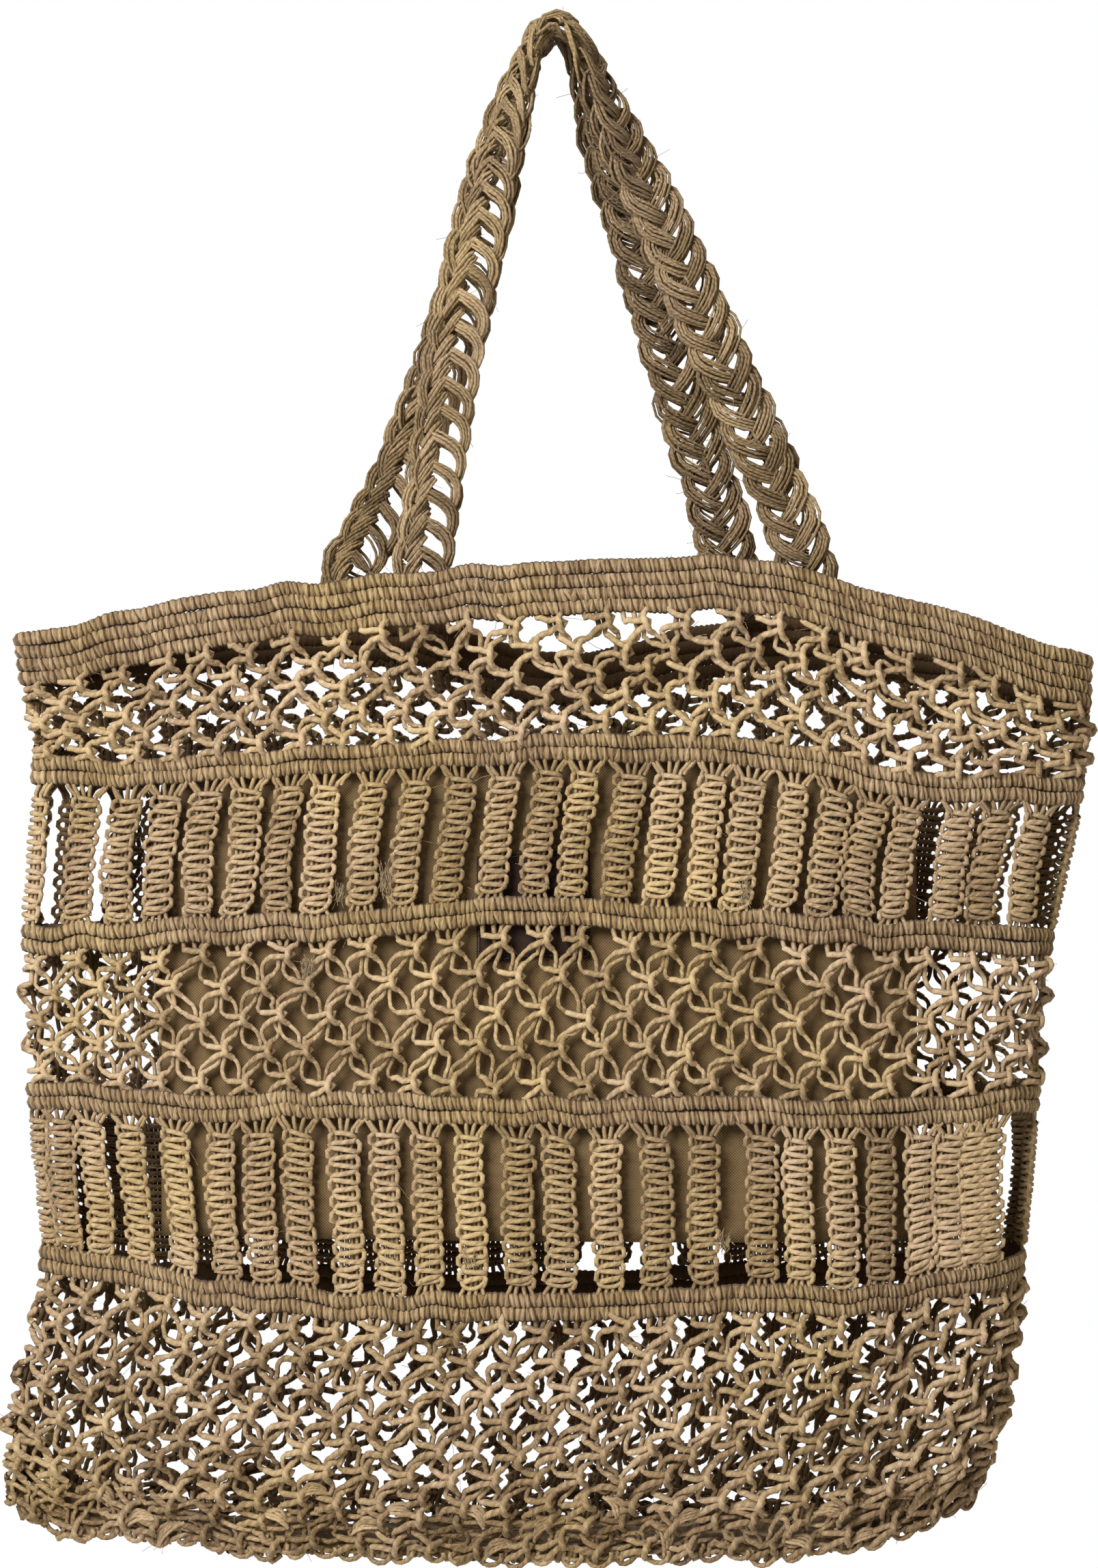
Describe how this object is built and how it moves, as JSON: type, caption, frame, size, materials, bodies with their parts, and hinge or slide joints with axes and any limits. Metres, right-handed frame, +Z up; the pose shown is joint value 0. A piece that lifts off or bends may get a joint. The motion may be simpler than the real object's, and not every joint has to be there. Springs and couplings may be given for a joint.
{
  "type": "handbag",
  "caption": "Open-work jute macrame tote with knotted bands, two crocheted strap handles and a dark canvas inner pouch, held up by its handles.",
  "frame": {"origin": "the place under the top of the two handles where a hook or a hand holds the bag", "axes": "+Z up, +X to the right seen from the front, the front wall faces -Y"},
  "size_m": [0.4244, 0.0978, 0.6093],
  "materials": {
    "jute_cord": "matte twisted natural jute twine with loose fibres",
    "jute_crochet": "matte crocheted strands of thin jute",
    "pouch_canvas": "matte plain-woven dark canvas"
  },
  "bodies": {
    "root": {"rim_band": "jute_cord", "hitch_rows_1": "jute_cord", "hitch_rows_2": "jute_cord", "hitch_rows_3": "jute_cord", "hitch_rows_4": "jute_cord", "upper_net": "jute_cord", "upper_bars": "jute_cord", "middle_net": "jute_cord", "lower_bars": "jute_cord", "lower_net": "jute_cord", "base_net": "jute_cord", "inner_pouch": "pouch_canvas", "handle_front": "jute_crochet", "handle_back": "jute_crochet"}
  },
  "joints": []
}
